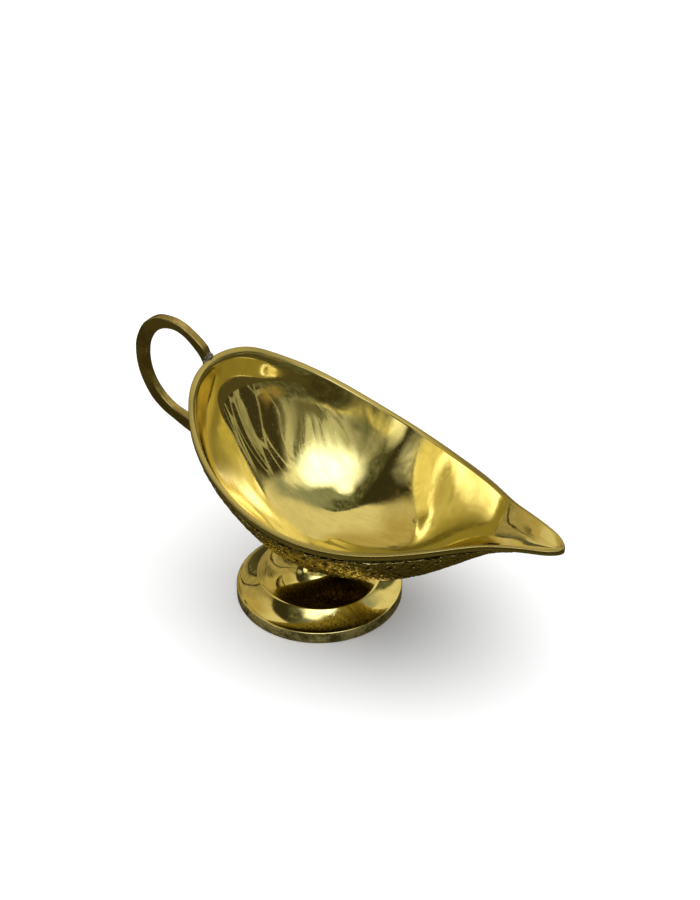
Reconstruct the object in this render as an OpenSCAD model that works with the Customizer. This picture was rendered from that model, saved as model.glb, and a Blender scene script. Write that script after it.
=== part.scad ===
// Brass oil lamp: an egg-shaped bowl with a pouring spout, on a round foot, with a loop handle.
// The lamp stands on z = 0 and its spout points along +X.

/* [Bowl] */
// Widest width of the bowl
bowl_w = 77; // [70:0.5:84]
// Length of the bowl behind its widest place
rear_reach = 46.6; // [42:0.2:50]
// Length of the egg-shaped part in front of its widest place
front_reach = 73; // [68:0.5:76]
// Height of the rim at its lowest place
rim_z = 49.2; // [46:0.2:53]
// Rise of the rim towards the handle
rear_rise = 28.4; // [22:0.2:32]
// Rise of the rim towards the spout
spout_rise = 4.9; // [3:0.1:7]
// Thickness of the cast wall
wall_t = 2.4; // [1.8:0.1:3]
// Height of the plain band under the rim
band_h = 1.6; // [1:0.1:3]

/* [Spout] */
// Distance of the spout's tip from the foot's axis
tip_x = 86.5; // [82:0.5:90]
// Half width of the spout where it leaves the bowl
spout_half_w = 11.2; // [9:0.2:13]
// Narrowing of each side of the spout per millimetre of length
spout_taper = 0.42; // [0.3:0.01:0.48]
// Least depth of the trough
trough_h = 1.3; // [1:0.1:1.6]

/* [Handle] */
// Thickness of the handle's strap
strap_t = 3; // [2:0.2:4]
// Steps of the smooth curve between two chosen points
strap_steps = 5; // [3:1:8]

/* [Foot] */
// Diameter of the foot
foot_d = 55; // [50:0.5:60]
// Height of the foot's upright edge
edge_h = 3.7; // [3:0.1:5]
// Radius of the crease round the foot
crease_r = 20.6; // [19:0.2:22]
// Height of the crease
crease_z = 8.3; // [7.5:0.1:9]
// Radius of the neck
neck_r = 8.2; // [7.6:0.1:9]
// Height of the seam between foot and bowl
seam_z = 17.5; // [17:0.1:18]
// Thickness of the foot's wall
foot_t = 2.2; // [1.6:0.1:2.6]
// Height of the underside of the foot's solid core
core_z = 10.5; // [10:0.1:12]

/* [Fixing] */
// Diameter of the stud
stud_d = 5; // [4:0.5:6]
// Radial clearance of the stud in its holes
stud_gap = 0.1; // [0.05:0.05:0.2]
// Outer diameter of the washer
washer_d = 11; // [10:0.5:11.5]
// Thickness of the washer
washer_t = 1; // [0.8:0.1:1.2]
// Width of the nut across its flats
nut_flats = 8; // [7:0.5:9]
// Height of the nut
nut_h = 3.2; // [2.5:0.1:3.5]

/* [Detail] */
// Points round the rim
rim_count = 88; // [48:8:96]
// Rings between the middle of the bowl and its rim
ring_count = 17; // [10:1:20]

/* [Hidden] */

half_w = bowl_w / 2;
wide_x = 5;                       // widest place, from the foot's axis
rear_x = wide_x - rear_reach;     // rearmost place of the rim
top_z = rim_z + rear_rise;        // highest place of the rim
keel_z = 20.3;                    // lowest place of the bowl's outside
keel_split = 6;                   // the keel is lowest here and rises both ways
keel_power = 1.8;                 // roundness of the keel behind that place
front_z = 51;                     // height of the keel under the spout
strap_back = -71.3;               // rearmost place of the handle
shift_x = -(tip_x + strap_back) / 2;
collar_rings = 5;                 // rings of the collar between neck and bowl
collar_grow = 4.2;                // growth of the collar's radius up to the bowl
stud_z = [5.2, 21.2];             // lower and upper end of the stud
stud_r = stud_d / 2;
solder_t = 0.9;                   // thickness of solder between strap and bowl
solder_w = 4.4;                   // width of each solder joint
face_gap = 0.05;                  // gap between surfaces that meet

brass = [0.80, 0.62, 0.22];
dull_brass = [0.55, 0.44, 0.20];
grey_metal = [0.62, 0.62, 0.60];

function clamp01(t) = min(1, max(0, t));
function ease(t) = let (u = clamp01(t)) u * u * (3 - 2 * u);
function root(a, p) = pow(max(a, 0), 1 / p);

// Half width of the outline at x, drawn in by the distance inset
function egg_rear(x, inset) =
    (half_w - inset) * sqrt(max(0, 1 - pow((wide_x - x) / (rear_reach - inset), 2.3)));
function egg_front(x, inset) =
    (half_w - inset) * (1 - pow((x - wide_x) / (front_reach - 1.5 * inset), 1.86));
function spout_side(x, inset) = spout_half_w - spout_taper * (x - 67.7) - 1.085 * inset;
function tip_round(x, inset) =
    sqrt(max(0, 1 - pow(clamp01((x - tip_x + 6 + inset / 2) / (6 - inset / 2)), 2.4)));
function blend_max(a, b) = (a + b + sqrt((a - b) * (a - b) + 1)) / 2;
function half_width(x, inset) =
    x < wide_x ? egg_rear(x, inset)
    : x < 40 ? egg_front(x, inset)
    : blend_max(egg_front(x, inset), spout_side(x, inset)) * tip_round(x, inset);

// Height of the rim at x
function rim_height(x) =
    x < 30 ? rim_z + rear_rise * pow((30 - x) / 72, 2.135)
    : rim_z + spout_rise * ease((x - 30) / 45) - 0.8 * pow(clamp01((x - 76) / 10.5), 2);

// Height of the bowl's outside along its middle line
function keel_rear(x, lift, reach) =
    keel_z + lift + (top_z - keel_z)
        * (1 - root(1 - pow(clamp01((keel_split - x) / reach), keel_power), keel_power));
function keel_front(x, lift) =
    keel_z + lift + (front_z - keel_z) * ease(pow(clamp01((x - 8) / 70), 1.5));
function keel_slope(x) = (keel_front(x + 0.5, 0) - keel_front(x - 0.5, 0));

function outer_keel(x) =
    min(rim_height(x) - band_h - 0.8,
        x < keel_split ? keel_rear(x, 0, keel_split - rear_x) : keel_front(x, 0));
function inner_keel(x) =
    min(rim_height(x) - trough_h,
        x < keel_split ? keel_rear(x, wall_t, keel_split - rear_x - wall_t)
        : keel_front(x, wall_t * sqrt(1 + pow(keel_slope(x), 2))));

// Power of the cross-section's curve at x: a full round belly, straighter sides behind
function fullness(x) = 2.1 + 0.3 * exp(-pow((x - 5) / 14, 2)) - 0.5 * ease((-18 - x) / 20);

function section_z(x, y, low, high, inset) =
    low + (high - low) * pow(clamp01(abs(y) / max(half_width(x, inset), 0.01)), fullness(x));

function rim_point(i, inset) =
    let (a = 360 * i / rim_count,
         mid = (tip_x + rear_x) / 2,
         reach = (tip_x - rear_x) / 2 - inset,
         x = mid + reach * cos(a),
         side = i == 0 || 2 * i == rim_count ? 0 : sin(a) > 0 ? 1 : -1)
    [x, side * half_width(x, inset)];

// Rings close up towards the rim
function spread(j, count) = 1 - pow(1 - j / count, 1.4);
function along(p, r) = p * (r / norm(p));
function mix(a, b, t) = a + (b - a) * t;

// The collar grows out of the neck and meets the bowl in a round hollow
function collar_point(i, k) =
    let (t = k / collar_rings,
         p = along(rim_point(i, 0), neck_r + collar_grow * t * t),
         z = section_z(p[0], p[1], outer_keel(p[0]), rim_height(p[0]) - band_h, 0))
    [p[0], p[1], mix(seam_z + face_gap, z, sqrt(1 - (1 - t) * (1 - t)))];
function outer_point(i, j) =
    let (edge = rim_point(i, 0),
         p = along(edge, mix(neck_r + collar_grow, norm(edge), spread(j, ring_count))))
    [p[0], p[1], j == ring_count ? rim_height(edge[0]) - band_h
        : section_z(p[0], p[1], outer_keel(p[0]), rim_height(p[0]) - band_h, 0)];
function inner_point(i, j) =
    let (edge = rim_point(i, wall_t),
         p = along(edge, mix(collar_grow, norm(edge), spread(j, ring_count))))
    [p[0], p[1], j == ring_count ? rim_height(edge[0])
        : section_z(p[0], p[1], inner_keel(p[0]), rim_height(p[0]), wall_t)];
function rim_edge(i) = let (p = rim_point(i, 0)) [p[0], p[1], rim_height(p[0])];

function quad_faces(lower, upper) =
    [for (i = [0:rim_count - 1]) let (n = (i + 1) % rim_count)
        each [[lower + i, upper + i, upper + n], [lower + i, upper + n, lower + n]]];

module bowl_shell() {
    rings = concat(
        [for (k = [0:collar_rings]) [for (i = [0:rim_count - 1]) collar_point(i, k)]],
        [for (j = [1:ring_count]) [for (i = [0:rim_count - 1]) outer_point(i, j)]],
        [[for (i = [0:rim_count - 1]) rim_edge(i)]],
        [for (j = [ring_count:-1:0]) [for (i = [0:rim_count - 1]) inner_point(i, j)]]
    );
    bottom = [0, 0, seam_z + face_gap];
    well = [0, 0, inner_keel(0)];
    points = concat([bottom], [for (ring = rings) each ring], [well]);
    last = 1 + (len(rings) - 1) * rim_count;
    faces = concat(
        [for (i = [0:rim_count - 1]) [0, 1 + i, 1 + (i + 1) % rim_count]],
        [for (k = [0:len(rings) - 2]) each quad_faces(1 + k * rim_count, 1 + (k + 1) * rim_count)],
        [for (i = [0:rim_count - 1]) [last + i, len(points) - 1, last + (i + 1) % rim_count]]
    );
    polyhedron(points = points, faces = faces, convexity = 8);
}

// The bowl, with the round collar that carries it on the foot
module bowl() {
    color(brass) translate([shift_x, 0, 0]) difference() {
        bowl_shell();
        translate([0, 0, seam_z - 1])
            cylinder(h = stud_z[1] + 0.3 - seam_z + 1, r = stud_r + stud_gap, $fn = 32);
    }
}

// Chosen points of the strap's outer and inner edge, as [x, z] from the foot's axis
strap_outer = [[-42.6, 78.0], [-44.1, 82.0], [-47.9, 85.0], [-51.8, 87.0], [-56.0, 87.8], [-61.8, 86.8],
    [-66.6, 83.2], [-70.0, 77.5], [-71.3, 71.0], [-70.2, 63.6], [-66.8, 56.9], [-62.3, 52.4],
    [-57.0, 49.6], [-50.2, 46.6], [-44.0, 44.0], [-37.0, 42.4]];
strap_inner = [[-43.0, 74.2], [-44.6, 77.4], [-48.1, 81.2], [-52.0, 83.7], [-56.0, 84.2], [-60.3, 82.6],
    [-64.0, 78.4], [-65.7, 73.6], [-66.0, 69.0], [-65.3, 64.3], [-63.4, 60.0], [-60.8, 56.6],
    [-57.0, 54.0], [-50.7, 51.8], [-44.5, 49.4], [-37.5, 47.8]];

function spline(a, b, c, d, t) =
    0.5 * (2 * b + (c - a) * t + (2 * a - 5 * b + 4 * c - d) * t * t + (3 * b - a - 3 * c + d) * t * t * t);
function smooth_line(p) =
    [for (i = [0:len(p) - 2]) for (k = [0:strap_steps - 1])
        spline(p[max(i - 1, 0)], p[i], p[i + 1], p[min(i + 2, len(p) - 1)], k / strap_steps)];
function flipped(p) = [for (i = [len(p) - 1:-1:0]) p[i]];

// Place of the bowl's rear middle line at height z
function rear_line(z) =
    keel_split - (keel_split - rear_x)
        * root(1 - pow(1 - (z - keel_z) / (top_z - keel_z), keel_power), keel_power);

module strap_plate(width) {
    translate([shift_x, width / 2, 0]) rotate([90, 0, 0]) linear_extrude(height = width) children();
}

// The loop handle, a flat strap
module handle() {
    low_end = [for (z = [42.6:1:47.6]) [rear_line(z) - solder_t, z]];
    color(dull_brass) strap_plate(strap_t)
        polygon(concat(smooth_line(strap_outer), low_end, flipped(smooth_line(strap_inner))));
}

// Solder that joins the strap to the plain band of the rim
module upper_solder() {
    wall_x = rear_x - face_gap;
    color(grey_metal) strap_plate(solder_w)
        polygon([[wall_x, 73.6], [wall_x, 77.9], [wall_x - 0.2, 78.1], [-42.5, 77.9], [-42.9, 74.2],
            [-42.5, 73.8]]);
}

// Solder that joins the strap to the rear of the bowl
module lower_solder() {
    heights = [for (z = [41.2:1:49.2]) z];
    near = [for (z = heights) [rear_line(z) - face_gap, z]];
    far = [for (z = flipped(heights)) [rear_line(z) - solder_t + face_gap, z]];
    color(grey_metal) strap_plate(solder_w) polygon(concat(near, far));
}

// Outline of the foot's outside, from the floor to the neck, as [radius, height]
foot_r = foot_d / 2;
edge_round = 0.8;
flange_drop = 0.6;
function flange_line(inset) = [for (a = [0:15:60])
    [foot_r - inset - edge_round * (1 - cos(a)), edge_h - edge_round + edge_round * sin(a)]];
// The trumpet is a quarter of an oval between the crease and the neck
function trumpet(inset, top) = [for (a = [0:6:90])
    let (r = crease_r - (crease_r - neck_r) * sin(a), z = crease_z + (seam_z - crease_z) * (1 - cos(a)))
    [r - inset, min(z, top)]];

// The hollow foot, with a solid core for the stud
module foot() {
    hollow = crease_r - foot_t;
    color(brass) translate([shift_x, 0, 0]) rotate_extrude($fn = 128)
        polygon(concat(
            [[foot_r - foot_t, 0], [foot_r - 0.3, 0], [foot_r, 0.3]],
            flange_line(0),
            trumpet(0, seam_z),
            [[stud_r + stud_gap, seam_z], [stud_r + stud_gap, core_z], [washer_d / 2 + 1, core_z],
                [hollow - 2.5, crease_z - 0.8], [hollow, crease_z - foot_t - 0.4],
                [foot_r - foot_t - 0.6, edge_h - flange_drop - 0.9]]
        ));
}

// The stud that pulls bowl and foot together
module fixing_stud() {
    color(grey_metal) translate([shift_x, 0, stud_z[0]]) {
        cylinder(h = stud_z[1] - stud_z[0], r = stud_r, $fn = 32);
    }
}

module washer() {
    color(grey_metal) translate([shift_x, 0, core_z - face_gap - washer_t]) difference() {
        cylinder(h = washer_t, r = washer_d / 2, $fn = 48);
        translate([0, 0, -1]) cylinder(h = washer_t + 2, r = stud_r + 2 * stud_gap, $fn = 32);
    }
}

module hex_nut() {
    color(grey_metal) translate([shift_x, 0, core_z - 2 * face_gap - washer_t - nut_h]) difference() {
        cylinder(h = nut_h, d = nut_flats / cos(30), $fn = 6);
        translate([0, 0, -1]) cylinder(h = nut_h + 2, r = stud_r + stud_gap / 2, $fn = 32);
    }
}

bowl();
handle();
foot();
fixing_stud();
washer();
hex_nut();
upper_solder();
lower_solder();
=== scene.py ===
import math
import bpy
import bmesh
import numpy as np
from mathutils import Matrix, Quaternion, Vector, noise


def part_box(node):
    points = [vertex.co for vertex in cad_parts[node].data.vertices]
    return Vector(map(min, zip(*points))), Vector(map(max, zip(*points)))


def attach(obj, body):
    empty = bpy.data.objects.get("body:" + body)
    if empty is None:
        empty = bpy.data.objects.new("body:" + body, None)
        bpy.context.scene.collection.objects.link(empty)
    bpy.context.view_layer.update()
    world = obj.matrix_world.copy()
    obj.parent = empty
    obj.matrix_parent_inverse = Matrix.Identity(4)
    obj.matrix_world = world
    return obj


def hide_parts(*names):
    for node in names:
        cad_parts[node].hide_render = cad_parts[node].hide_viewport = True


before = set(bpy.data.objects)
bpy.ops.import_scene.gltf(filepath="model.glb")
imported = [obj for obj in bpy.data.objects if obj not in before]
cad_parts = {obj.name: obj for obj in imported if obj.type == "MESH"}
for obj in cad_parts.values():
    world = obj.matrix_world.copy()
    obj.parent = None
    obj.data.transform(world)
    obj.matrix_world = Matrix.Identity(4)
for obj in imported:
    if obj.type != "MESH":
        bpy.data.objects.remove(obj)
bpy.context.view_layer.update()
mm = 0.001
footLow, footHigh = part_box("foot")
axisX = (footLow.x + footHigh.x) / 2  # the foot's axis, which every drawn size is counted from
print("frame loaded, foot axis at", round(axisX, 5))


# small tools

def clamp(t, low=0.0, high=1.0):
    return max(low, min(high, t))


def ease(t):
    t = clamp(t)
    return t * t * (3 - 2 * t)


def mix(a, b, t):
    return a + (b - a) * t


def bell(t):
    return math.exp(-t * t)


def seat(x, y, z):  # millimetres from the foot's axis to the frame's metres
    return Vector((axisX + x * mm, y * mm, z * mm))


def glide(count, samples, closed):  # weights of a cubic B-spline: one row for each sample
    rows = np.zeros((samples, count))
    for r in range(samples):
        t = r * (count / samples if closed else (count - 1) / (samples - 1))
        k = int(t) if closed else min(int(t), count - 2)
        f = t - k
        weights = ((1 - f) ** 3, 3 * f ** 3 - 6 * f * f + 4, -3 * f ** 3 + 3 * f * f + 3 * f + 1, f ** 3)
        for step, w in zip((-1, 0, 1, 2), weights):
            j = k + step
            if closed:
                rows[r, j % count] += w / 6
            elif j < 0:  # a mirrored point beyond each end holds the curve to its ends
                rows[r, 0] += w / 3
                rows[r, 1] -= w / 6
            elif j >= count:
                rows[r, count - 1] += w / 3
                rows[r, count - 2] -= w / 6
            else:
                rows[r, j] += w / 6
    return rows


def smoothSurface(net, spokes, rings):
    net = np.array(net)
    across = glide(net.shape[0], rings, False)
    around = glide(net.shape[1], spokes, True)
    return np.einsum("rj,sk,jkc->rsc", across, around, net)


def smoothLine(points, steps):  # a curve through given points
    line = []
    for i in range(len(points) - 1):
        a, b, c, d = (Vector(points[clamp(k, 0, len(points) - 1)]) for k in (i - 1, i, i + 1, i + 2))
        for k in range(steps):
            t = k / steps
            line.append(0.5 * (2 * b + (c - a) * t + (2 * a - 5 * b + 4 * c - d) * t * t
                               + (3 * b - a - 3 * c + d) * t ** 3))
    return line + [Vector(points[-1])]


def makePiece(name, bm, materials, replaced):
    mesh = bpy.data.meshes.new(name)
    bm.to_mesh(mesh)
    bm.free()
    piece = bpy.data.objects.new(name, mesh)
    bpy.context.scene.collection.objects.link(piece)
    for m in materials:
        mesh.materials.append(m)
    for face in mesh.polygons:
        face.use_smooth = True
    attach(piece, "root")
    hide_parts(replaced)
    print(name, "has", len(mesh.polygons), "faces")


# shared shader groups

def newGroup(name, inputs, outputs):
    tree = bpy.data.node_groups.new(name, "ShaderNodeTree")
    for label, kind, value in inputs:
        socket = tree.interface.new_socket(label, in_out="INPUT", socket_type=kind)
        socket.default_value = value
    for label, kind in outputs:
        tree.interface.new_socket(label, in_out="OUTPUT", socket_type=kind)
    return tree, tree.nodes.new("NodeGroupInput"), tree.nodes.new("NodeGroupOutput")


def addNode(tree, kind, links=None, **settings):
    node = tree.nodes.new(kind)
    for key, value in settings.items():
        setattr(node, key, value)
    for key, value in (links or {}).items():
        if isinstance(value, bpy.types.NodeSocket):
            tree.links.new(value, node.inputs[key])
        else:
            node.inputs[key].default_value = value
    return node


def addMath(tree, operation, a, b=0.0, limit=False):
    return addNode(tree, "ShaderNodeMath", {0: a, 1: b}, operation=operation, use_clamp=limit).outputs[0]


def addRange(tree, value, low, high, start=0.0, end=1.0):
    links = {"Value": value, "From Min": low, "From Max": high, "To Min": start, "To Max": end}
    return addNode(tree, "ShaderNodeMapRange", links, interpolation_type="SMOOTHSTEP").outputs["Result"]


def addNoise(tree, vector, scale, detail=3.0, rough=0.5, swirl=0.0):
    links = {"Vector": vector, "Scale": scale, "Detail": detail, "Roughness": rough, "Distortion": swirl}
    return addNode(tree, "ShaderNodeTexNoise", links).outputs["Fac"]


def addSum(tree, a, shareA, b, shareB):  # two values, each times its share
    return addMath(tree, "ADD", addMath(tree, "MULTIPLY", a, shareA), addMath(tree, "MULTIPLY", b, shareB))


def addMore(tree, value, mask, amount):
    return addMath(tree, "ADD", value, addMath(tree, "MULTIPLY", mask, amount))


def blendColor(tree, factor, a, b):
    node = addNode(tree, "ShaderNodeMix", {0: factor, 6: a, 7: b}, data_type="RGBA")
    return node.outputs[2]


def scaledPlace(tree, size):  # a place on the piece times a group's own scale
    place = addNode(tree, "ShaderNodeTexCoord").outputs["Object"]
    scaled = addNode(tree, "ShaderNodeVectorMath", {0: place}, operation="SCALE")
    tree.links.new(size, scaled.inputs["Scale"])
    return scaled.outputs[0]


# each set of scratches: its turn and how it is drawn out
scratching = {"sets": (((0.2, 0.5, 0.1), (2600, 90, 700)), ((0.9, 0.1, 1.1), (120, 2900, 800)),
                       ((0.4, 1.2, 2.1), (2400, 700, 110))),
              "detail": 2.0, "rough": 0.6, "from": 0.64, "to": 0.74}


def scratchGroup():  # hair scratches of hand polishing, in three directions
    tree, start, end = newGroup("hairScratches", [("Fineness", "NodeSocketFloat", 1.0)],
                                [("Mask", "NodeSocketFloat"), ("Height", "NodeSocketFloat")])
    c = scratching
    place = addNode(tree, "ShaderNodeTexCoord").outputs["Object"]
    total = None
    for turn, stretch in c["sets"]:
        turned = addNode(tree, "ShaderNodeMapping", {"Vector": place, "Rotation": turn, "Scale": stretch})
        scaled = addNode(tree, "ShaderNodeVectorMath", {0: turned.outputs[0]}, operation="SCALE")
        tree.links.new(start.outputs["Fineness"], scaled.inputs["Scale"])
        lines = addNoise(tree, scaled.outputs[0], 1.0, c["detail"], c["rough"])
        lines = addRange(tree, lines, c["from"], c["to"])
        total = lines if total is None else addMath(tree, "MAXIMUM", total, lines)
    tree.links.new(total, end.inputs["Mask"])
    tree.links.new(addMath(tree, "MULTIPLY", total, -1.0), end.inputs["Height"])
    return tree


# scale, detail, roughness and swirl of the patches, then each one's share
mottling = {"large": (55.0, 4.0, 0.55, 0.4), "small": (420.0, 5.0, 0.65, 0.0), "shares": (0.65, 0.35),
            "bare": 0.75, "from": -0.06, "to": 0.08}


def mottleGroup():  # cloudy tarnish: large patches broken by small ones
    tree, start, end = newGroup("tarnishMottle",
                                [("Scale", "NodeSocketFloat", 1.0), ("Cover", "NodeSocketFloat", 0.5)],
                                [("Mask", "NodeSocketFloat"), ("Cloud", "NodeSocketFloat")])
    c = mottling
    place = scaledPlace(tree, start.outputs["Scale"])
    large, small = addNoise(tree, place, *c["large"]), addNoise(tree, place, *c["small"])
    cloud = addSum(tree, large, c["shares"][0], small, c["shares"][1])
    edge = addMath(tree, "SUBTRACT", c["bare"], addMath(tree, "MULTIPLY", start.outputs["Cover"], 0.5))
    above = addMath(tree, "SUBTRACT", cloud, edge)
    tree.links.new(addRange(tree, above, c["from"], c["to"]), end.inputs["Mask"])
    tree.links.new(cloud, end.inputs["Cloud"])
    return tree


# scale, detail and roughness of the grain; pits are cells that only some patches let through
graining = {"fine": (1500.0, 4.0, 0.6), "broad": (240.0, 3.0, 0.5), "shares": (0.4, 0.8),
            "pitScale": 700.0, "pitEdge": 0.16, "pitFloor": 0.05, "pitDepth": 0.7,
            "patches": (300.0, 2.0), "patchEdge": (0.5, 0.62)}


def grainGroup():  # the skin of a sand casting: fine grain with small pits
    tree, start, end = newGroup("castGrain", [("Scale", "NodeSocketFloat", 1.0)],
                                [("Height", "NodeSocketFloat"), ("Pits", "NodeSocketFloat")])
    c = graining
    place = scaledPlace(tree, start.outputs["Scale"])
    fine, broad = addNoise(tree, place, *c["fine"]), addNoise(tree, place, *c["broad"])
    cells = addNode(tree, "ShaderNodeTexVoronoi", {"Vector": place, "Scale": c["pitScale"]})
    pits = addRange(tree, cells.outputs["Distance"], c["pitEdge"], c["pitFloor"])
    patches = addRange(tree, addNoise(tree, place, *c["patches"]), *c["patchEdge"])
    pits = addMath(tree, "MULTIPLY", pits, patches)
    bumps = addSum(tree, fine, c["shares"][0], broad, c["shares"][1])
    bumps = addMath(tree, "SUBTRACT", bumps, addMath(tree, "MULTIPLY", pits, c["pitDepth"]))
    tree.links.new(bumps, end.inputs["Height"])
    tree.links.new(pits, end.inputs["Pits"])
    return tree


groups = {"scratches": scratchGroup(), "mottle": mottleGroup(), "grain": grainGroup()}
print("shader groups made")


def useGroup(tree, name, **values):
    node = tree.nodes.new("ShaderNodeGroup")
    node.node_tree = groups[name]
    for key, value in values.items():
        node.inputs[key].default_value = value
    return node.outputs


def startMetal(name):
    m = bpy.data.materials.new(name)
    m.use_nodes = True
    shader = m.node_tree.nodes["Principled BSDF"]
    shader.inputs["Metallic"].default_value = 1.0
    return m, m.node_tree, shader


def finishMetal(tree, shader, color, rough, heights):  # each height: its value, distance and strength
    tree.links.new(color, shader.inputs["Base Color"])
    tree.links.new(rough, shader.inputs["Roughness"])
    links = {}
    for height, (distance, strength) in heights:
        links.update({"Height": height, "Distance": distance, "Strength": strength})
        bump = addNode(tree, "ShaderNodeBump", links)
        links = {"Normal": bump.outputs["Normal"]}
    tree.links.new(links["Normal"], shader.inputs["Normal"])


# the metals

polish = {
    "bright": (0.84, 0.72, 0.27, 1), "warm": (0.81, 0.67, 0.21, 1), "dull": (0.55, 0.46, 0.17, 1),
    "edge": (0.44, 0.35, 0.10, 1), "dullShare": 0.22, "cover": 0.42, "grain": 1.4,
    "rough": 0.045, "hazeRough": 0.085, "scratchRough": 0.10, "edgeRough": 0.20,
    "grainBump": (0.00003, 0.10), "scratchBump": (0.00002, 0.12),
}


def polishedMetal():
    m, tree, shader = startMetal("polishedBrass")
    c = polish
    cloud = useGroup(tree, "mottle", Scale=1.0, Cover=c["cover"])
    lines = useGroup(tree, "scratches", Fineness=1.0)
    grain = useGroup(tree, "grain", Scale=c["grain"])
    brim = addNode(tree, "ShaderNodeAttribute", attribute_name="brim").outputs["Fac"]  # dull from handling
    color = blendColor(tree, cloud["Cloud"], c["bright"], c["warm"])
    color = blendColor(tree, addMath(tree, "MULTIPLY", cloud["Mask"], c["dullShare"]), color, c["dull"])
    color = blendColor(tree, brim, color, c["edge"])
    rough = addMore(tree, c["rough"], cloud["Mask"], c["hazeRough"])
    rough = addMore(tree, rough, lines["Mask"], c["scratchRough"])
    rough = addMore(tree, rough, brim, c["edgeRough"])
    bumps = [(grain["Height"], c["grainBump"]), (lines["Height"], c["scratchBump"])]
    finishMetal(tree, shader, color, rough, bumps)
    return m


# the near-black colour and its two reaches are painted shade on the bowl's underside, 20 to 32 mm from the
# foot's axis
chasing = {
    "high": (0.90, 0.76, 0.30, 1), "low": (0.06, 0.045, 0.014, 1), "paintedShade": (0.07, 0.045, 0.012, 1),
    "tint": (0.92, 0.76, 0.34, 1), "rough": 0.10, "lowRough": 0.42, "scratchRough": 0.1,
    "swayScale": 300.0, "sway": 0.003, "burrTurn": (0.3, 0.2, 0.0), "burrStretch": (0.8, 0.8, 2.0),
    "burrScale": 420.0, "burrWidth": 0.17, "burrShare": 0.45, "cloudShare": 0.3, "dark": 0.50, "light": 0.92,
    "paintedShadeStart": 0.032, "paintedShadeEnd": 0.020, "burrBump": (0.00032, 0.85), "grainBump": (0.00006, 0.35),
    "sunk": (0.45, 0.49), "raised": (0.515, 0.55),
}


def chasedMetal():
    m, tree, shader = startMetal("chasedBrass")
    c = chasing
    shader.inputs["Specular Tint"].default_value = c["tint"]
    carving = addNode(tree, "ShaderNodeAttribute", attribute_name="chase").outputs["Fac"]  # 0.5 where plain
    cloud = useGroup(tree, "mottle", Scale=1.6, Cover=0.5)
    grain = useGroup(tree, "grain", Scale=1.0)
    lines = useGroup(tree, "scratches", Fineness=0.8)
    place = addNode(tree, "ShaderNodeTexCoord").outputs["Object"]
    sway = addNode(tree, "ShaderNodeTexNoise", {"Vector": place, "Scale": c["swayScale"], "Detail": 2.0})
    links = {0: sway.outputs["Color"], "Scale": c["sway"]}
    sway = addNode(tree, "ShaderNodeVectorMath", links, operation="SCALE").outputs[0]
    swayed = addNode(tree, "ShaderNodeVectorMath", {0: place, 1: sway}, operation="ADD").outputs[0]
    links = {"Vector": swayed, "Rotation": c["burrTurn"], "Scale": c["burrStretch"]}
    links = {"Vector": addNode(tree, "ShaderNodeMapping", links).outputs[0], "Scale": c["burrScale"]}
    cells = addNode(tree, "ShaderNodeTexVoronoi", links, feature="DISTANCE_TO_EDGE").outputs["Distance"]
    burrs = addRange(tree, cells, c["burrWidth"], 0.01)  # thin bright edges that the chisel left
    raised = addRange(tree, carving, *c["raised"])
    sunk = addRange(tree, carving, *c["sunk"], 1.0, 0.0)
    carved = addMath(tree, "MAXIMUM", raised, sunk)
    lifted = addMore(tree, carving, cloud["Cloud"], c["cloudShare"])
    lifted = addMore(tree, lifted, addMath(tree, "SUBTRACT", burrs, 0.4), c["burrShare"])
    bright = addRange(tree, lifted, c["dark"], c["light"])
    parts = addNode(tree, "ShaderNodeSeparateXYZ", {0: place}).outputs
    inFront = addMath(tree, "SUBTRACT", parts["X"], axisX)
    across = addNode(tree, "ShaderNodeCombineXYZ", {0: inFront, 1: parts["Y"]}).outputs[0]
    reach = addNode(tree, "ShaderNodeVectorMath", {0: across}, operation="LENGTH").outputs["Value"]
    shadeNearFoot = addRange(tree, reach, c["paintedShadeStart"], c["paintedShadeEnd"])  # painted shade: near black on the underside close to the foot, where the bowl hangs over it
    # the painted shade near the foot covers the relief's own colour
    color = blendColor(tree, shadeNearFoot, blendColor(tree, bright, c["low"], c["high"]), c["paintedShade"])
    rough = addRange(tree, bright, 0.0, 1.0, c["lowRough"], c["rough"])
    rough = addMore(tree, rough, lines["Mask"], c["scratchRough"])
    burrs = addMath(tree, "MULTIPLY", burrs, carved)
    finishMetal(tree, shader, color, rough, [(burrs, c["burrBump"]), (grain["Height"], c["grainBump"])])
    return m


casting = {"bright": (0.56, 0.44, 0.15, 1), "dark": (0.36, 0.27, 0.08, 1), "rough": 0.22, "dullRough": 0.36,
           "scratchRough": 0.08, "grainBump": (0.00012, 0.5), "scratchBump": (0.00004, 0.3)}


def castMetal():
    m, tree, shader = startMetal("castBrass")
    c = casting
    cloud = useGroup(tree, "mottle", Scale=1.3, Cover=0.55)
    grain = useGroup(tree, "grain", Scale=0.9)
    lines = useGroup(tree, "scratches", Fineness=0.7)
    color = blendColor(tree, cloud["Mask"], c["bright"], c["dark"])
    color = blendColor(tree, grain["Pits"], color, c["dark"])
    rough = addRange(tree, cloud["Cloud"], 0.3, 0.7, c["rough"], c["dullRough"])
    rough = addMore(tree, rough, lines["Mask"], c["scratchRough"])
    bumps = [(grain["Height"], c["grainBump"]), (lines["Height"], c["scratchBump"])]
    finishMetal(tree, shader, color, rough, bumps)
    return m


aging = {"bright": (0.90, 0.76, 0.28, 1), "dark": (0.22, 0.18, 0.05, 1), "rough": 0.2, "dullRough": 0.5,
         "metal": 0.84, "grainBump": (0.0001, 0.4)}


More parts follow.
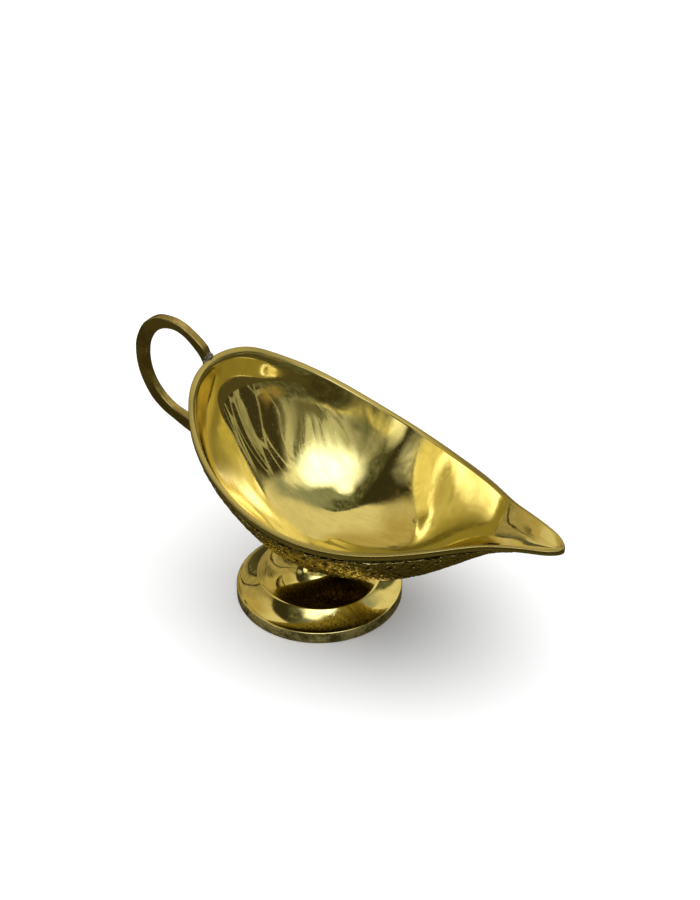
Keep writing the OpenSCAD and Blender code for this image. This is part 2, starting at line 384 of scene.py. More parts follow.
def agedMetal():  # brass that polishing rarely reaches
    m, tree, shader = startMetal("agedBrass")
    c = aging
    shader.inputs["Metallic"].default_value = c["metal"]  # the dull film scatters light
    cloud = useGroup(tree, "mottle", Scale=2.2, Cover=0.45)
    grain = useGroup(tree, "grain", Scale=1.1)
    color = blendColor(tree, cloud["Mask"], c["bright"], c["dark"])
    color = blendColor(tree, grain["Pits"], color, c["dark"])
    rough = addRange(tree, cloud["Mask"], 0.0, 1.0, c["rough"], c["dullRough"])
    finishMetal(tree, shader, color, rough, [(grain["Height"], c["grainBump"])])
    return m


# clean and dull colour, roughness
greyMetals = {"solder": ((0.56, 0.55, 0.50, 1), (0.24, 0.22, 0.18, 1), 0.34),
              "steel": ((0.55, 0.54, 0.51, 1), (0.30, 0.27, 0.22, 1), 0.28)}


def greyMetal(name):
    clean, dull, roughness = greyMetals[name]
    m, tree, shader = startMetal(name + "Grey")
    cloud = useGroup(tree, "mottle", Scale=3.0, Cover=0.5)
    grain = useGroup(tree, "grain", Scale=1.6)
    color = blendColor(tree, cloud["Mask"], clean, dull)
    rough = addRange(tree, cloud["Cloud"], 0.3, 0.7, roughness, roughness + 0.2)
    finishMetal(tree, shader, color, rough, [(grain["Height"], (0.0001, 0.5))])
    return m


polishedBrass, chasedBrass, castBrass, agedBrass = polishedMetal(), chasedMetal(), castMetal(), agedMetal()
solderGrey, steelGrey = greyMetal("solder"), greyMetal("steel")
print("metals made")


# the bowl

bowl = {
    "halfW": 38.5, "wideX": 5.0, "rearReach": 46.8, "frontReach": 73.0, "rearRound": 2.3, "frontTaper": 1.86,
    "rimZ": 49.2, "rearRise": 28.4, "riseX": 30, "riseLength": 72, "risePower": 2.135,
    "rearLift": 1.0, "liftX": -37.8, "liftLength": 4, "wall": 1.9, "band": 1.6, "trough": 1.3,
    "tipX": 86.8, "tipLength": 6, "tipRound": 2.4, "spoutX": 67.7, "spoutHalfW": 11.3, "spoutTaper": 0.42,
    "spoutRise": 4.9, "spoutRiseLength": 45, "droop": 0.8, "droopX": 76, "droopLength": 10.5,
    "keelZ": 20.3, "keelX": 6.0, "keelPower": 1.8, "frontX": 8, "frontLength": 70, "frontPower": 1.5,
    "frontZ": 51.0, "neckR": 8.2, "collarGrow": 4.2, "seamZ": 17.55,
    "collarNet": 5, "sideNet": 18, "sideSpread": 1.4, "insideNet": 16, "insideSpread": 1.6,
    "spokes": 640, "netSpokes": 80, "hullRings": 88, "insideRings": 46, "edgeR": 0.5, "rollRing": 1,
    "swell": 1.1, "swellDeep": 9, "swellLength": 6.5, "swellEndX": -4, "swellFade": 18,
    "thinning": 1.0, "thinX": 45, "thinLength": 20, "centreR": 1.2,
}
rearX = bowl["wideX"] - bowl["rearReach"]
topZ = bowl["rimZ"] + bowl["rearRise"]


def eggWidth(x, inset):
    b = bowl
    if x < b["wideX"]:
        u = (b["wideX"] - x) / (b["rearReach"] - inset)
        return (b["halfW"] - inset) * math.sqrt(max(0, 1 - u ** b["rearRound"]))
    u = (x - b["wideX"]) / (b["frontReach"] - 1.5 * inset)
    return (b["halfW"] - inset) * (1 - u ** b["frontTaper"])


def halfWidth(x, inset):
    b = bowl
    egg = eggWidth(x, inset)
    if x < 40:  # well behind the spout
        return egg
    side = b["spoutHalfW"] - b["spoutTaper"] * (x - b["spoutX"]) - 1.085 * inset
    merged = (egg + side + math.sqrt((egg - side) ** 2 + 1)) / 2
    tip = b["tipLength"]
    u = clamp((x - b["tipX"] + tip + inset / 2) / (tip - inset / 2))
    return merged * math.sqrt(max(0, 1 - u ** b["tipRound"]))


def rimHeight(x):
    b = bowl
    if x < b["riseX"]:
        lift = b["rearLift"] * bell((x - b["liftX"]) / b["liftLength"])
        return b["rimZ"] + b["rearRise"] * ((b["riseX"] - x) / b["riseLength"]) ** b["risePower"] + lift
    droop = b["droop"] * clamp((x - b["droopX"]) / b["droopLength"]) ** 2
    return b["rimZ"] + b["spoutRise"] * ease((x - b["riseX"]) / b["spoutRiseLength"]) - droop


def keelHeight(x, lift, draw):
    b = bowl
    if x < b["keelX"]:
        u = clamp((b["keelX"] - x) / (b["keelX"] - rearX - draw))
        p = b["keelPower"]
        return b["keelZ"] + lift + (topZ - b["keelZ"]) * (1 - (1 - u ** p) ** (1 / p))
    climb = ease(clamp((x - b["frontX"]) / b["frontLength"]) ** b["frontPower"])
    return b["keelZ"] + lift + (b["frontZ"] - b["keelZ"]) * climb


def outerKeel(x):
    return min(rimHeight(x) - bowl["band"] - 0.8, keelHeight(x, 0, 0))


def innerKeel(x):
    wall = bowl["wall"]
    if x > bowl["keelX"]:
        slope = keelHeight(x + 0.5, 0, 0) - keelHeight(x - 0.5, 0, 0)
        wall *= math.sqrt(1 + slope * slope)
    return min(rimHeight(x) - bowl["trough"], keelHeight(x, wall, bowl["wall"]))


def fullness(x):  # 2 is a parabola; the belly is fuller than that and the rear is sharper
    return 2.1 + 0.3 * bell((x - 5) / 14) - 0.5 * ease((-18 - x) / 20)


def sectionHeight(x, y, low, high, inset):
    side = max(halfWidth(x, inset), 0.01)
    return low + (high - low) * clamp(abs(y) / side) ** fullness(x)


def rimPoint(i, count, inset):
    a = 2 * math.pi * i / count
    reach = (bowl["tipX"] - rearX) / 2 - inset
    x = (bowl["tipX"] + rearX) / 2 + reach * math.cos(a)
    side = 0 if i % (count // 2) == 0 else math.copysign(1, math.sin(a))
    return Vector((x, side * halfWidth(x, inset)))


def hullNet():
    b = bowl
    count, net = b["netSpokes"], []
    for k in range(b["collarNet"] + 1):
        t = k / b["collarNet"]
        ring = []
        for i in range(count):
            p = rimPoint(i, count, 0).normalized() * (b["neckR"] + b["collarGrow"] * t * t)
            z = sectionHeight(p.x, p.y, outerKeel(p.x), rimHeight(p.x) - b["band"], 0)
            ring.append((p.x, p.y, mix(b["seamZ"], z, math.sqrt(1 - (1 - t) ** 2))))
        net.append(ring)
    last = b["sideNet"]
    for j in range(1, last + 1):
        s = 1 - (1 - j / last) ** b["sideSpread"]
        ring = []
        for i in range(count):
            edge = rimPoint(i, count, 0)
            p = edge.normalized() * mix(b["neckR"] + b["collarGrow"], edge.length, s)
            top = rimHeight(p.x) - b["band"]
            z = top if j == last else sectionHeight(p.x, p.y, outerKeel(p.x), top, 0)
            ring.append((p.x, p.y, z))
        net.append(ring)
    return net


def insideNet():
    b = bowl
    count, net, last = b["netSpokes"], [], b["insideNet"]
    for j in range(last, -1, -1):
        s = mix(0.03, 1, 1 - (1 - j / last) ** b["insideSpread"])
        ring = []
        for i in range(count):
            edge = rimPoint(i, count, b["wall"])
            p = edge * s
            if j < 4:  # the innermost rings turn round
                p = edge.normalized() * mix(b["centreR"], edge.length * s, j / 4)
            z = top = rimHeight(p.x)
            if j < last:
                z = sectionHeight(p.x, p.y, innerKeel(p.x), top, b["wall"])
            deep = top - z
            swell = b["swell"] * bell((deep - b["swellDeep"]) / b["swellLength"]) * ease(deep / 6)
            swell *= ease((b["swellEndX"] - p.x) / b["swellFade"])
            out = edge.normalized() * swell  # the wall stands steeper just below the rear rim
            thin = b["thinning"] * ease((p.x - b["thinX"]) / b["thinLength"]) * ease((j - 11) / 5)
            out += (p - Vector((min(p.x, b["tipX"] - 8), 0))).normalized() * thin  # the spout's thin lip
            ring.append((p.x + out.x, p.y + out.y, z))
        net.append(ring)
    return net


# leaves round the bowl, sizes in millimetres
chase = {"leaves": 46, "rows": 14, "rowStep": 5.4, "leafLength": 7.8, "start": 2.6, "shake": 0.5,
         "rise": 0.45, "ridge": 0.30, "rib": 0.40, "veins": 3, "vein": 0.20, "ground": 0.16,
         "groove": 0.22, "grooveDown": 1.5}


def chasedHeight(around, down, room):  # around in leaves, down in millimetres below the band
    c = chase
    groove = -c["groove"] * bell((down - c["grooveDown"]) / 0.45)
    fade = ease((down - c["start"] + 0.4) / 0.8) * ease((room - down - 4) / 3)
    if fade == 0:
        return groove
    wobble = c["shake"] * noise.noise(Vector((around * 1.7, down * 0.18, 3.1)))
    for row in range(c["rows"]):
        a = (around + 0.06 * wobble + 0.5 * (row % 2)) % 1 - 0.5
        b = (down + wobble - c["start"] - row * c["rowStep"]) / c["leafLength"]
        if not 0 <= b < 1:
            continue
        side = 0.5 * (1 - b ** 2.4) ** 0.75
        e = abs(a) / max(side, 0.001)
        if e >= 1:
            continue
        body = c["rise"] * (0.55 + 0.45 * b) * math.sqrt(1 - e * e)
        ridge = c["ridge"] * bell((e - 0.82) / 0.15)
        rib = -c["rib"] * bell(a / 0.045) * (1 - b)
        vein = c["vein"] * math.cos(2 * math.pi * (b * c["veins"] - abs(a) * 3)) * (1 - bell(a / 0.09))
        return groove + fade * (body + ridge + rib + vein * (1 - e))
    return groove - fade * c["ground"] * (0.6 + 0.8 * noise.noise(Vector((around * 22, down * 1.4, 0))))


def chaseHull(hull):
    tangentIn = np.gradient(hull, axis=0)
    tangentRound = (np.roll(hull, -1, axis=1) - np.roll(hull, 1, axis=1)) / 2
    outward = np.cross(tangentRound, tangentIn)
    outward /= np.linalg.norm(outward, axis=2)[:, :, None]
    steps = np.linalg.norm(np.diff(hull, axis=0), axis=2)
    down = np.zeros(hull.shape[:2])
    down[:-1] = np.cumsum(steps[::-1], axis=0)[::-1]
    girth = np.linalg.norm(np.roll(hull[-1], -1, axis=0) - hull[-1], axis=1)
    around = np.concatenate(([0], np.cumsum(girth)[:-1])) / girth.sum() * chase["leaves"]
    height = np.zeros(hull.shape[:2])
    for s in range(hull.shape[1]):
        room = down[0, s]
        for r in range(hull.shape[0]):
            height[r, s] = chasedHeight(around[s], down[r, s], room)
    return hull + outward * height[:, :, None], height


def edgeRings(outer, inside, steps):  # a tight round outside, then a soft roll down to a ring of the inside
    rings, r = [], bowl["edgeR"]
    inner, low = inside[0], inside[bowl["rollRing"]]
    across = inner - outer
    across /= np.linalg.norm(across, axis=1)[:, None]
    for k in range(steps + 1):
        a = math.pi / 2 * k / steps
        rings.append(outer + across * r * (1 - math.cos(a)) - np.array((0, 0, r)) * (1 - math.sin(a)))
    top = rings[-1]
    for k in range(1, 2 * steps + 1):
        t = k / (2 * steps)
        rings.append(top * (1 - t) ** 2 + inner * 2 * t * (1 - t) + low * t * t)
    return rings


def growRings(bm, rings, worn, brims, lastChased):
    spoke = bm.verts.layers.int.new("spoke")
    wear = bm.verts.layers.float.new("chase")
    brim = bm.verts.layers.float.new("brim")
    made = bmesh.ops.create_circle(bm, cap_ends=True, cap_tris=False, segments=len(rings[0]), radius=1)
    for i, v in enumerate(made["verts"]):
        v[spoke] = i
        v.co = seat(*rings[0][i])
    edges = list({e for v in made["verts"] for e in v.link_edges})
    for r, ring in enumerate(rings[1:], 1):
        grown = bmesh.ops.extrude_edge_only(bm, edges=edges)["geom"]
        fresh = {part for part in grown if isinstance(part, bmesh.types.BMVert)}
        for v in fresh:
            v.co = seat(*ring[v[spoke]])
            v[wear] = worn[r][v[spoke]] if r < len(worn) else 0.5
            v[brim] = brims.get(r, 0.0)
        edges = []
        for part in grown:
            if isinstance(part, bmesh.types.BMFace):
                part.material_index = 1 if r <= lastChased else 0
            elif isinstance(part, bmesh.types.BMEdge) and fresh.issuperset(part.verts):
                edges.append(part)
    return edges


def makeBowl():
    b = bowl
    hull = smoothSurface(hullNet(), b["spokes"], b["hullRings"])
    inside = smoothSurface(insideNet(), b["spokes"], b["insideRings"])
    hull, height = chaseHull(hull)
    worn = np.clip(0.5 + height / 0.9, 0, 1)
    up = np.array((0, 0, b["band"]))
    rings = list(hull) + [hull[-1] + up * t for t in (0.05, 0.35)]
    edge = edgeRings(hull[-1] + up, inside, 4)
    brims = {len(rings) + k: clamp(1.4 - k / 9) for k in range(len(edge))}
    rings += edge + list(inside[b["rollRing"] + 1:])
    bm = bmesh.new()
    edges = growRings(bm, rings, worn, brims, b["hullRings"] - 4)
    cap = bmesh.ops.edgeloop_fill(bm, edges=edges)["faces"]
    middle = bmesh.ops.poke(bm, faces=cap)["verts"][0]
    middle.co = seat(0, 0, inside[-1][:, 2].mean() - 0.01)
    bmesh.ops.recalc_face_normals(bm, faces=bm.faces)
    makePiece("lampBowl", bm, [polishedBrass, chasedBrass], "bowl")


# the handle, a flat cast strap

handle = {
    "thick": 3.0, "steps": 10, "edge": 0.5, "wave": 0.12,
    "outer": [(-41.9, 78.6), (-43.4, 81.4), (-47.6, 84.6), (-51.8, 86.9), (-56.4, 87.8), (-62.0, 87.0),
              (-67.0, 83.5), (-70.2, 77.6), (-71.3, 71.0), (-70.2, 63.6), (-66.9, 56.8), (-62.4, 52.3),
              (-57.0, 49.4), (-50.2, 46.5), (-44.0, 44.0), (-36.0, 42.2), (-29.3, 42.4)],
    "inner": [(-42.9, 73.6), (-44.6, 77.4), (-48.1, 81.2), (-52.0, 83.7), (-56.0, 84.3), (-60.6, 82.8),
              (-64.8, 78.5), (-66.7, 73.8), (-67.0, 69.0), (-66.1, 64.2), (-63.9, 59.8), (-60.9, 56.5),
              (-57.0, 54.0), (-50.7, 51.8), (-44.5, 49.4), (-38.0, 47.9), (-33.2, 48.2)],
}


def makeHandle():
    h = handle
    outer, inner = smoothLine(h["outer"], h["steps"]), smoothLine(h["inner"], h["steps"])
    bm = bmesh.new()
    pair = [bm.verts.new(seat(p[0], -h["thick"] / 2, p[1])) for p in (outer[0], inner[0])]
    edge = bm.edges.new(pair)
    for k, (far, near) in enumerate(zip(outer[1:], inner[1:]), 1):
        grown = bmesh.ops.extrude_edge_only(bm, edges=[edge])["geom"]
        fresh = [part for part in grown if isinstance(part, bmesh.types.BMVert)]
        lines = [part for part in grown if isinstance(part, bmesh.types.BMEdge)]
        edge = next(line for line in lines if set(line.verts) == set(fresh))
        middle = (outer[k - 1] + inner[k - 1]) / 2
        fresh.sort(key=lambda v: (v.co - seat(outer[k - 1][0], -h["thick"] / 2, outer[k - 1][1])).length)
        shake = h["wave"] * noise.noise(Vector((k * 0.13, 0, 7)))
        for v, p in zip(fresh, (far, near)):
            side = (p - middle).normalized() * shake
            v.co = seat(p[0] + side[0], -h["thick"] / 2, p[1] + side[1])
    sheet = bmesh.ops.extrude_face_region(bm, geom=list(bm.faces), use_keep_orig=True)["geom"]
    lifted = [part for part in sheet if isinstance(part, bmesh.types.BMVert)]
    bmesh.ops.translate(bm, verts=lifted, vec=(0, h["thick"] * mm, 0))
    bmesh.ops.recalc_face_normals(bm, faces=bm.faces)
    sharp = [e for e in bm.edges if len(e.link_faces) == 2 and e.calc_face_angle() > math.radians(50)]
    bmesh.ops.bevel(bm, geom=sharp, offset=h["edge"] * mm, segments=4, profile=0.5, affect="EDGES",
                    material=-1)
    makePiece("lampHandle", bm, [castBrass], "handle")


# the foot

foot = {"r": 27.8, "edgeH": 4.3, "edgeRound": 0.5, "chamfer": 0.3, "dish": 1.5, "creaseR": 20.5,
        "creaseZ": 8.8, "neckR": 8.2, "seamZ": 17.5, "wall": 2.2, "coreZ": 10.5, "boreR": 2.6, "steps": 256,
        "hollow": [(6.5, 10.5), (8.5, 10.2), (15.9, 7.6), (18.4, 5.6), (23.5, 2.8), (24.9, 1.8)]}


def footOutline():
    f = foot
    line = [(f["r"] - f["wall"], 0), (f["r"] - f["chamfer"], 0), (f["r"], f["chamfer"])]
    for k in range(7):  # rounded top of the upright edge
        a = math.radians(60 * k / 6)
        r = f["r"] - f["edgeRound"] * (1 - math.cos(a))
        line.append((r, f["edgeH"] + f["edgeRound"] * (math.sin(a) - 1)))
    r, z = line[-1]
    for k in range(1, 16):  # the flange
        t = k / 16
        line.append((mix(r, f["creaseR"], t), mix(z, f["creaseZ"], t ** f["dish"])))
    for k in range(31):  # the trumpet up to the neck
        a = math.pi / 2 * k / 30
        r = mix(f["creaseR"], f["neckR"], math.sin(a))
        line.append((r, mix(f["creaseZ"], f["seamZ"], 1 - math.cos(a))))
    return line + [(f["boreR"], f["seamZ"]), (f["boreR"], f["coreZ"])] + f["hollow"]


def makeFoot():
    bm = bmesh.new()
    verts = [bm.verts.new(seat(r, 0, z)) for r, z in footOutline()]
    edges = [bm.edges.new((a, b)) for a, b in zip(verts, verts[1:] + verts[:1])]
    bmesh.ops.spin(bm, geom=verts + edges, cent=seat(0, 0, 0), axis=(0, 0, 1), angle=2 * math.pi,
                   steps=foot["steps"], use_merge=True)
    bmesh.ops.recalc_face_normals(bm, faces=bm.faces)
    for face in bm.faces:  # the upright edge and the hollow are left as cast
        middle = face.calc_center_median()
        reach = math.hypot(middle.x - axisX, middle.y) / mm
        onEdge = reach > foot["r"] - 0.15 and middle.z < (foot["edgeH"] - 0.2) * mm
        if onEdge or face.normal.z < -0.2 or middle.z < 0.2 * mm:
            face.material_index = 1
    makePiece("lampFoot", bm, [polishedBrass, agedBrass], "foot")


# the solder at the two ends of the handle

solderLumps = {
    "upperSolder": {"node": "upper_solder", "lean": 0.2, "place": (-42.3, 0, 76.4), "size": (1.3, 2.3, 2.9)},
    "lowerSolder": {"node": "lower_solder", "lean": -0.55, "place": (-31.6, 0, 45.2),
                    "size": (1.2, 2.5, 4.6)},
}


def makeSolder(name):
    s = solderLumps[name]
    bm = bmesh.new()
    bmesh.ops.create_icosphere(bm, subdivisions=5, radius=1)
    middle = seat(*s["place"])
    turn = Quaternion((0, 1, 0), s["lean"])
    for v in bm.verts:
        lump = 1 + 0.16 * noise.noise(v.co * 2.3 + Vector(s["place"])) + 0.05 * noise.noise(v.co * 7)
        v.co = middle + turn @ Vector([v.co[k] * s["size"][k] * lump * mm for k in range(3)])
    bmesh.ops.recalc_face_normals(bm, faces=bm.faces)
    makePiece(name, bm, [solderGrey], s["node"])


makeBowl()
makeHandle()
makeFoot()
for name in solderLumps:
    makeSolder(name)
for name in ("fixing_stud", "washer", "hex_nut"):
    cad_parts[name].data.materials.clear()
    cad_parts[name].data.materials.append(steelGrey)
print("pieces made")


# the room that the metal mirrors, the floor and the camera

room = {
    "floorSize": 24.0, "floorPale": (0.90, 0.90, 0.89, 1), "floorMirrored": (0.06, 0.052, 0.024, 1),
    "sun": 3.3, "sunSpread": 86, "ambient": (0.26, 0.26, 0.26, 1), "white": (0.97, 0.97, 0.97, 1),
    "base": (0.075, 0.073, 0.045, 1), "baseLight": (0.17, 0.18, 0.13, 1), "baseAgain": (0.36, 0.35, 0.26, 1),
    "ripple": 9.0, "rippleScale": 5.0, "mottle": (16.0, 5.0, 0.62), "mottleEdge": (0.40, 0.66),
    "leadTurn": (0.2, 0.9, 0.4), "leadStretch": (1.2, 6.5, 2.2), "leadWidth": (0.02, 0.07),
}
# each pattern: turn, stretch, detail, roughness, swirl, and where it starts and ends
streaked = {"broad": ((0.5, 0.3, 0.2), (3.0, 14.0, 6.0), 4.0, 0.62, 0.6, 0.40, 0.58),
            "fine": ((0.5, 0.3, 0.9), (5.0, 26.0, 9.0), 3.0, 0.6, 0.5, 0.36, 0.56)}
# each card: azimuth, elevation, half width and half height in degrees, lean, softness, streaks, light
# and colour; streaks above 1 are leaded lines
cards = {
    "wall": (120, 60, 96, 40, 0, 0.05, 0.12, 0.83, (1.0, 0.92, 0.74)),
    "wallFoot": (158, 41, 48, 15, 0, 0.45, 0.2, 0.49, (1.0, 0.81, 0.40)),
    "haze": (330, 66, 60, 9, 0, 0.40, 0.3, 0.34, (0.9, 1.0, 0.92)),
    "arc": (22, 56, 34, 11, -42, 0.40, 0.3, 0.34, (0.92, 1.0, 0.95)),
    "lowWall": (172, 20, 50, 15, -8, 0.35, 0.3, 0.40, (1.0, 0.84, 0.48)),
    "shelf": (142, 36, 16, 4, 0, 0.50, 0.5, 0.12, (1.0, 0.85, 0.5)),
    "flank": (268, 38, 20, 6, 60, 0.70, 0.6, 0.45, (1.0, 0.98, 0.85)),
    "glow": (320, 37, 44, 20, 0, 0.25, 0.9, 0.60, (1.0, 1.02, 0.92)),
    "window": (313, 48, 38, 9, 4, 0.60, 0.2, 3.0, (1.0, 1.06, 1.30)),
    "bloom": (291, 58, 17, 6, 0, 0.60, 0.2, 2.4, (1.0, 1.04, 1.2)),
    "pale": (6, 38, 14, 16, -20, 0.50, 0.4, 1.1, (1.0, 1.0, 0.95)),
    "frames": (24, 12, 34, 22, -30, 0.30, 0.5, 0.42, (1.0, 0.97, 0.75)),
    "dark": (24, 12, 35, 22, -30, 0.20, 2.0, 0.05, (1.0, 0.85, 0.5)),
    "leaf": (325, 24, 18, 6, 0, 0.50, 0.3, 0.14, (1.0, 0.9, 0.6)),
    "glint": (262, 21, 42, 2, 0, 0.70, 0.7, 0.80, (1.0, 0.88, 0.45)),
    "column": (228, 22, 15, 44, 0, 0.2, 0.0, 0.04, (1.0, 0.9, 0.5)),
    "lamp": (226, 23, 7, 6, 0, 0.80, 0.5, 0.80, (1.0, 1.0, 0.95)),
    "slit": (247, 4, 8, 18, 0, 0.30, 0.2, 1.5, (1.0, 1.0, 0.95)),
    "seam": (160, 22, 40, 1.3, -14, 0.40, 0.0, 0.06, (1.0, 0.8, 0.4)),
    "seamLow": (150, 4, 44, 1.2, 6, 0.40, 0.0, 0.06, (1.0, 0.8, 0.4)),
    "brown": (288, 2, 32, 17, 0, 0.25, 0.4, 0.05, (1.0, 0.78, 0.35)),
    "orange": (353, 10, 9, 5, 20, 0.60, 0.6, 0.34, (1.0, 0.74, 0.28)),
}
cardsAgain = {  # the same room after a second reflection, seen from the far side of the bowl
    "zenith": (110, 86, 80, 7, 0, 0.4, 0.0, 0.95, (1.0, 0.97, 0.88)),
    "left": (150, 15, 44, 20, 0, 0.4, 0.5, 0.75, (1.0, 0.92, 0.7)),
    "bright": (24, 54, 34, 26, 0, 0.30, 0.6, 1.35, (1.0, 1.03, 1.45)),
    "hot": (36, 36, 20, 6, -50, 0.90, 0.2, 3.4, (1.0, 1.08, 2.4)),
    "mid": (12, 25, 24, 6, 0, 0.5, 0.5, 0.75, (1.0, 1.0, 0.85)),
    "dark": (14, 15, 18, 4, 0, 0.6, 0.5, 0.32, (1.0, 0.95, 0.8)),
    "gold": (24, 2, 28, 8, 0, 0.5, 0.5, 0.70, (1.0, 0.9, 0.6)),
    "shade": (235, 60, 34, 9, -12, 0.45, 0.5, 0.14, (1.0, 0.95, 0.6)),
    "strip": (318, 54, 46, 10, 0, 0.5, 0.6, 0.80, (1.0, 1.03, 1.4)),
    "hotStrip": (322, 50, 34, 3, 0, 0.9, 0.3, 3.4, (1.0, 1.08, 2.4)),
}
cameraSet = {"place": (0.2288, -0.3640, 0.3539), "aim": (-0.0140, 0.0293, 0.0377), "roll": 0.45,
             "sensor": 36, "lens": 66.1, "near": 0.01, "far": 20}


def cardGroup():  # a soft-edged patch of the room, from azimuth and elevation in degrees
    inputs = {"Azimuth": 0.0, "Elevation": 0.0, "Streak": 0.0, "Turn To": 0.0, "Raise To": 0.0, "Width": 1.0,
              "Height": 1.0, "Lean": 0.0, "Soft": 0.3, "Streaks": 0.0}
    inputs = [(label, "NodeSocketFloat", value) for label, value in inputs.items()]
    tree, start, end = newGroup("lightCard", inputs, [("Mask", "NodeSocketFloat")])
    given = start.outputs
    turn = addMath(tree, "SUBTRACT", given["Azimuth"], given["Turn To"])
    turn = addNode(tree, "ShaderNodeMath", {0: turn, 1: 180.0, 2: -180.0}, operation="WRAP").outputs[0]
    rise = addMath(tree, "SUBTRACT", given["Elevation"], given["Raise To"])
    flat = addNode(tree, "ShaderNodeCombineXYZ", {0: turn, 1: rise})
    leant = addNode(tree, "ShaderNodeVectorRotate", {"Vector": flat.outputs[0]}, rotation_type="Z_AXIS")
    tree.links.new(addMath(tree, "MULTIPLY", given["Lean"], -math.pi / 180), leant.inputs["Angle"])
    parts = addNode(tree, "ShaderNodeSeparateXYZ", {0: leant.outputs[0]}).outputs
    shares = []
    for side, size in ((parts[0], given["Width"]), (parts[1], given["Height"])):
        share = addMath(tree, "ABSOLUTE", addMath(tree, "DIVIDE", side, size))
        shares.append(addMath(tree, "POWER", share, 3.0))
    far = addMath(tree, "POWER", addMath(tree, "ADD", *shares), 1 / 3)
    outer, inner = addMath(tree, "ADD", 1.0, given["Soft"]), addMath(tree, "SUBTRACT", 1.0, given["Soft"])
    mask = addRange(tree, far, outer, inner)
    kept = addMath(tree, "MULTIPLY", addMath(tree, "SUBTRACT", 1.0, given["Streak"]), given["Streaks"], True)
    tree.links.new(addMath(tree, "MULTIPLY", mask, addMath(tree, "SUBTRACT", 1.0, kept)), end.inputs["Mask"])
    return tree


def addStreaks(tree, direction, name):
    turn, stretch, detail, rough, swirl, low, high = streaked[name]
    turned = addNode(tree, "ShaderNodeMapping", {"Vector": direction, "Rotation": turn, "Scale": stretch})
    return addRange(tree, addNoise(tree, turned.outputs[0], 1.0, detail, rough, swirl), low, high)


def addLeading(tree, direction):  # thin light lines as between panes
    links = {"Vector": direction, "Rotation": room["leadTurn"], "Scale": room["leadStretch"]}
    links = {"Vector": addNode(tree, "ShaderNodeMapping", links).outputs[0], "Scale": 1.0}
    joints = addNode(tree, "ShaderNodeTexVoronoi", links, feature="DISTANCE_TO_EDGE").outputs["Distance"]
    return addRange(tree, joints, *room["leadWidth"])


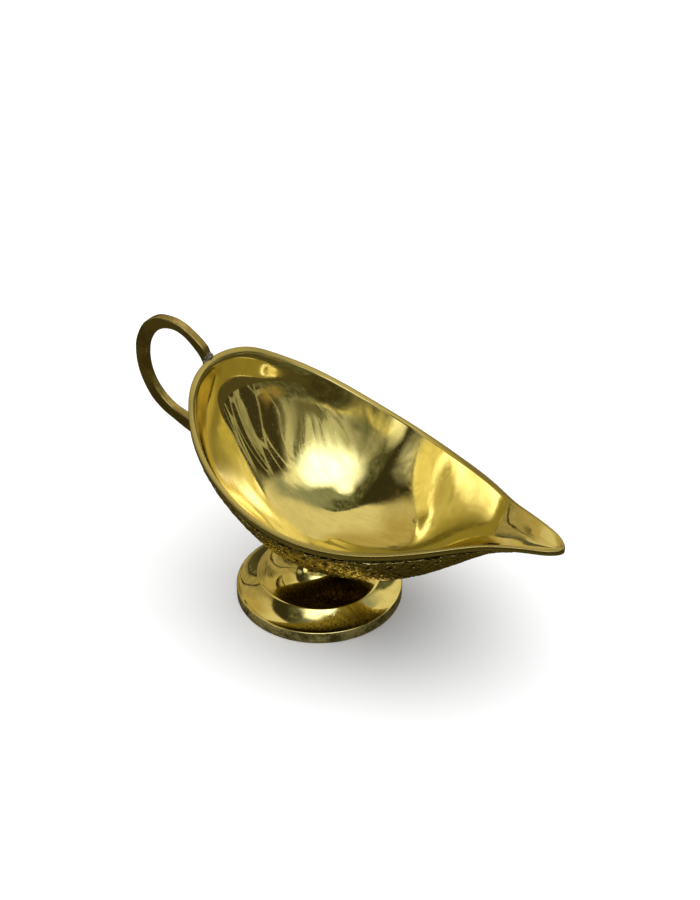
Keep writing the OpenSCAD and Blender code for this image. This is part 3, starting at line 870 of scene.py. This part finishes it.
def makeWorld():
    groups["card"] = cardGroup()
    world = bpy.data.worlds.new("studio")
    bpy.context.scene.world = world
    world.use_nodes = True
    tree = world.node_tree
    direction = addNode(tree, "ShaderNodeTexCoord").outputs["Generated"]
    parts = addNode(tree, "ShaderNodeSeparateXYZ", {0: direction}).outputs
    links = {"Vector": direction, "Scale": room["rippleScale"], "Detail": 5.0, "Roughness": 0.6}
    ripple = addNode(tree, "ShaderNodeTexNoise", links).outputs["Color"]
    shift = addNode(tree, "ShaderNodeSeparateColor", {0: ripple}).outputs
    azimuth = addMath(tree, "ARCTAN2", parts["Y"], parts["X"])
    elevation = addMath(tree, "ARCSINE", parts["Z"])
    angles = []
    for k, angle in enumerate((azimuth, elevation)):
        angle = addMath(tree, "MULTIPLY", angle, 180 / math.pi)
        angles.append(addMore(tree, angle, addMath(tree, "SUBTRACT", shift[k], 0.5), room["ripple"]))
    broad, fine = addStreaks(tree, direction, "broad"), addStreaks(tree, direction, "fine")
    leading = addLeading(tree, direction)
    grainy = addRange(tree, addNoise(tree, direction, *room["mottle"]), *room["mottleEdge"])
    mottled = blendColor(tree, grainy, room["base"], room["baseLight"])
    rooms = []
    for color, chosen, plain in ((mottled, cards, broad), (room["baseAgain"], cardsAgain, fine)):
        for name, (turn, rise, width, height, lean, soft, streaks, power, tint) in chosen.items():
            card = tree.nodes.new("ShaderNodeGroup")
            card.node_tree = groups["card"]
            card.label = name
            pattern = leading if streaks > 1 else plain
            for label, socket in (("Azimuth", angles[0]), ("Elevation", angles[1]), ("Streak", pattern)):
                tree.links.new(socket, card.inputs[label])
            for label, value in (("Turn To", turn), ("Raise To", rise), ("Width", width), ("Height", height),
                                 ("Lean", lean), ("Soft", soft), ("Streaks", streaks)):
                card.inputs[label].default_value = value
            color = blendColor(tree, card.outputs["Mask"], color, tuple(power * c for c in tint) + (1,))
        rooms.append(color)
    path = addNode(tree, "ShaderNodeLightPath").outputs
    again = addMath(tree, "GREATER_THAN", path["Glossy Depth"], 1.5)
    seen = addNode(tree, "ShaderNodeBackground", {"Color": rooms[0]}).outputs[0]
    for share, color in ((again, rooms[1]), (path["Is Diffuse Ray"], room["ambient"]),
                         (path["Is Camera Ray"], room["white"])):
        other = addNode(tree, "ShaderNodeBackground", {"Color": color}).outputs[0]
        seen = addNode(tree, "ShaderNodeMixShader", {0: share, 1: seen, 2: other}).outputs[0]
    tree.links.new(seen, tree.nodes["World Output"].inputs["Surface"])


def makeFloor():
    bm = bmesh.new()
    bmesh.ops.create_grid(bm, x_segments=2, y_segments=2, size=room["floorSize"] / 2)
    mesh = bpy.data.meshes.new("floor")
    bm.to_mesh(mesh)
    bm.free()
    floor = bpy.data.objects.new("floor", mesh)
    bpy.context.scene.collection.objects.link(floor)
    m = bpy.data.materials.new("floorPale")
    m.use_nodes = True
    tree = m.node_tree
    mirrored = addNode(tree, "ShaderNodeLightPath").outputs["Is Glossy Ray"]
    color = blendColor(tree, mirrored, room["floorPale"], room["floorMirrored"])
    inputs = tree.nodes["Principled BSDF"].inputs
    tree.links.new(color, inputs["Base Color"])
    inputs["Roughness"].default_value = 0.9
    inputs["Specular IOR Level"].default_value = 0.0
    mesh.materials.append(m)


def makeFill():  # lights the floor and the dull film on the aged brass; no metal mirrors it
    data = bpy.data.lights.new("floorFill", "SUN")
    data.energy = room["sun"]
    data.angle = math.radians(room["sunSpread"])
    lamp = bpy.data.objects.new("floorFill", data)
    bpy.context.scene.collection.objects.link(lamp)
    lamp.visible_glossy = False


def makeCamera():
    data = bpy.data.cameras.new("camera")
    data.sensor_width = cameraSet["sensor"]
    data.lens = cameraSet["lens"]
    data.clip_start, data.clip_end = cameraSet["near"], cameraSet["far"]
    camera = bpy.data.objects.new("camera", data)
    bpy.context.scene.collection.objects.link(camera)
    camera.location = cameraSet["place"]
    camera.rotation_mode = "QUATERNION"
    look = Vector(cameraSet["aim"]) - Vector(cameraSet["place"])
    roll = Quaternion((0, 0, 1), math.radians(cameraSet["roll"]))
    camera.rotation_quaternion = look.to_track_quat("-Z", "Y") @ roll
    bpy.context.scene.camera = camera


makeWorld()
makeFloor()
makeFill()
makeCamera()
bpy.context.scene.view_settings.view_transform = "Standard"
print("stage made")
